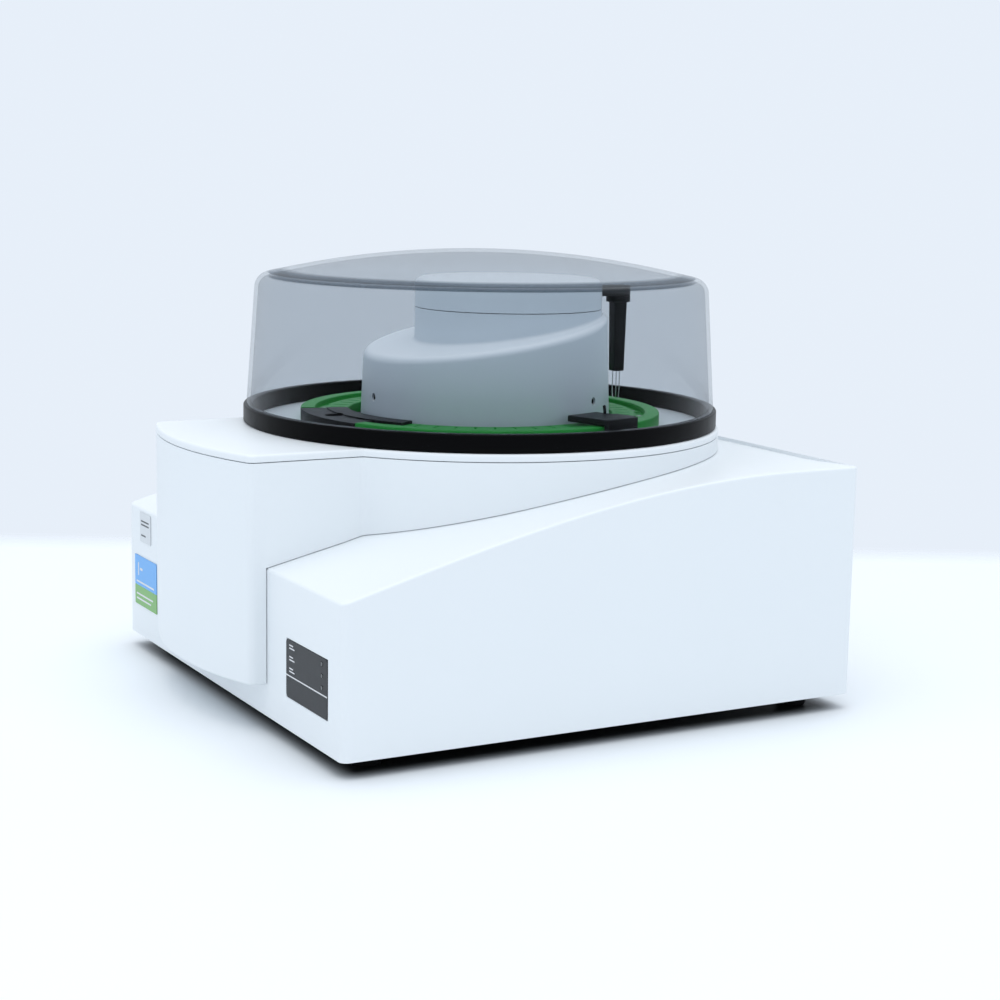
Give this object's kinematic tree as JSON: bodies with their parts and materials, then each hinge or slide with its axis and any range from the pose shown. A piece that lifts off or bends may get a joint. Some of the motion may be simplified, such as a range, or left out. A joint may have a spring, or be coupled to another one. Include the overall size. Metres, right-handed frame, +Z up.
{
  "type": "benchtop thermal analyser with carousel autosampler",
  "caption": "White benchtop thermal analyser: wedge base and round deck with a smoked dome over a green rotating sample tray, a grey tower and a wire-finger gripper.",
  "frame": {"origin": "centre of the bounding box, at the height of the surface that the feet stand on", "axes": "+Z up, -Y the front with the status panel, +X the instrument's right side as its front is faced from -Y"},
  "size_m": [0.434, 0.458, 0.3408],
  "materials": {
    "shell_white": "smooth satin white with a faint cool tint",
    "tower_grey": "satin light grey moulding",
    "ring_black": "satin black seat ring",
    "smoked_clear": "clear polished acrylic with a grey smoke tint",
    "tray_green": "satin green moulding",
    "black_plastic": "fine satin black",
    "panel_black": "semi-gloss dark grey film",
    "lamp_dark": "unlit dark lens",
    "label_film": "printed film in two plain colours, blue over green",
    "tag_white": "plain paper tag",
    "rubber_black": "matt rubber",
    "steel": "zinc-plated steel",
    "panel_grey": "powder-coated sheet",
    "aluminium": "machined",
    "brass": "machined",
    "board_green": "soldered circuit board",
    "motor_black": "black motor casing",
    "acetal": "moulded acetal"
  },
  "bodies": {
    "base": {"base_housing": "shell_white", "upper_housing": "shell_white", "deck_plate": "shell_white", "bottom_tray": "steel", "foot_1": "rubber_black", "foot_2": "rubber_black", "foot_3": "rubber_black", "foot_4": "rubber_black", "status_panel": "panel_black", "status_lamp_1": "lamp_dark", "status_lamp_2": "lamp_dark", "status_lamp_3": "lamp_dark", "colour_label": "label_film", "blank_tag": "tag_white", "rear_panel": "panel_grey", "power_inlet": "black_plastic", "switch_frame": "black_plastic", "data_port_1": "steel", "data_port_2": "steel", "gas_fitting_1": "brass", "gas_fitting_2": "brass", "fan_frame": "black_plastic", "fan_grille": "steel", "chassis": "steel", "main_board": "board_green", "power_supply": "steel", "furnace_block": "aluminium", "furnace_neck": "aluminium", "heat_sink": "aluminium", "cover_pivot": "steel", "carousel_motor": "motor_black", "motor_bracket": "steel", "turntable_bearing": "steel", "position_sensor": "black_plastic", "tower_base": "steel", "tower_shell": "tower_grey", "tower_screw_1": "black_plastic", "tower_screw_2": "black_plastic", "tower_screw_3": "black_plastic", "head_motor": "motor_black"},
    "dome": {"dome_shell": "smoked_clear", "dome_ring": "ring_black"},
    "carousel": {"turntable": "black_plastic", "ring_gear": "acetal", "carousel_tray": "tray_green", "tray_window": "black_plastic", "sample_pan": "aluminium"},
    "pinion": {"drive_pinion": "brass"},
    "head": {"head_cap": "tower_grey", "swing_arm": "black_plastic", "head_shaft": "steel", "gripper_body": "black_plastic"},
    "plunger": {"gripper_plunger": "steel"},
    "finger_a_body": {"finger_a": "steel"},
    "finger_b_body": {"finger_b": "steel"},
    "finger_c_body": {"finger_c": "steel"},
    "port_cover": {"furnace_cover": "aluminium"},
    "fan": {"fan_rotor": "black_plastic"},
    "rocker": {"power_switch": "black_plastic"}
  },
  "joints": [
    {"name": "dome_lift", "type": "slide", "parent": "base", "child": "dome", "axis": [0, 0, 1], "range_m": [0, 0.14]},
    {"name": "carousel_spin", "type": "hinge", "parent": "base", "child": "carousel", "pos_m": [-0.025, 0.033, 0.2], "axis": [0, 0, 1], "continuous": true},
    {"name": "pinion_spin", "type": "hinge", "parent": "base", "child": "pinion", "pos_m": [-0.025, -0.102, 0.19], "axis": [0, 0, 1], "continuous": true},
    {"name": "head_swing", "type": "hinge", "parent": "base", "child": "head", "pos_m": [-0.025, 0.0575, 0.306], "axis": [0, 0, 1], "range_deg": [-60, 60]},
    {"name": "gripper_lift", "type": "slide", "parent": "head", "child": "plunger", "axis": [0, 0, 1], "range_m": [0, 0.008]},
    {"name": "finger_a_open", "type": "hinge", "parent": "plunger", "child": "finger_a_body", "pos_m": [-0.025, 0.1652, 0.246], "axis": [1, 0, 0], "range_deg": [0, 1.5]},
    {"name": "finger_b_open", "type": "hinge", "parent": "plunger", "child": "finger_b_body", "pos_m": [-0.02777, 0.1604, 0.246], "axis": [-0.5, 0.866, 0], "range_deg": [0, 1.5]},
    {"name": "finger_c_open", "type": "hinge", "parent": "plunger", "child": "finger_c_body", "pos_m": [-0.02223, 0.1604, 0.246], "axis": [-0.5, -0.866, 0], "range_deg": [0, 1.5]},
    {"name": "port_cover_swing", "type": "hinge", "parent": "base", "child": "port_cover", "pos_m": [0.001, 0.159, 0.1966], "axis": [0, 0, -1], "range_deg": [0, 60]},
    {"name": "fan_spin", "type": "hinge", "parent": "base", "child": "fan", "pos_m": [0.125, 0.204, 0.1], "axis": [0, 1, 0], "continuous": true},
    {"name": "power_rocker", "type": "hinge", "parent": "base", "child": "rocker", "pos_m": [-0.105, 0.2115, 0.06], "axis": [1, 0, 0], "range_deg": [0, 24]}
  ],
  "couplings": [
    {"joint": "pinion_spin", "follows": "carousel_spin", "ratio": -5},
    {"joint": "finger_b_open", "follows": "finger_a_open", "ratio": 1},
    {"joint": "finger_c_open", "follows": "finger_a_open", "ratio": 1}
  ]
}
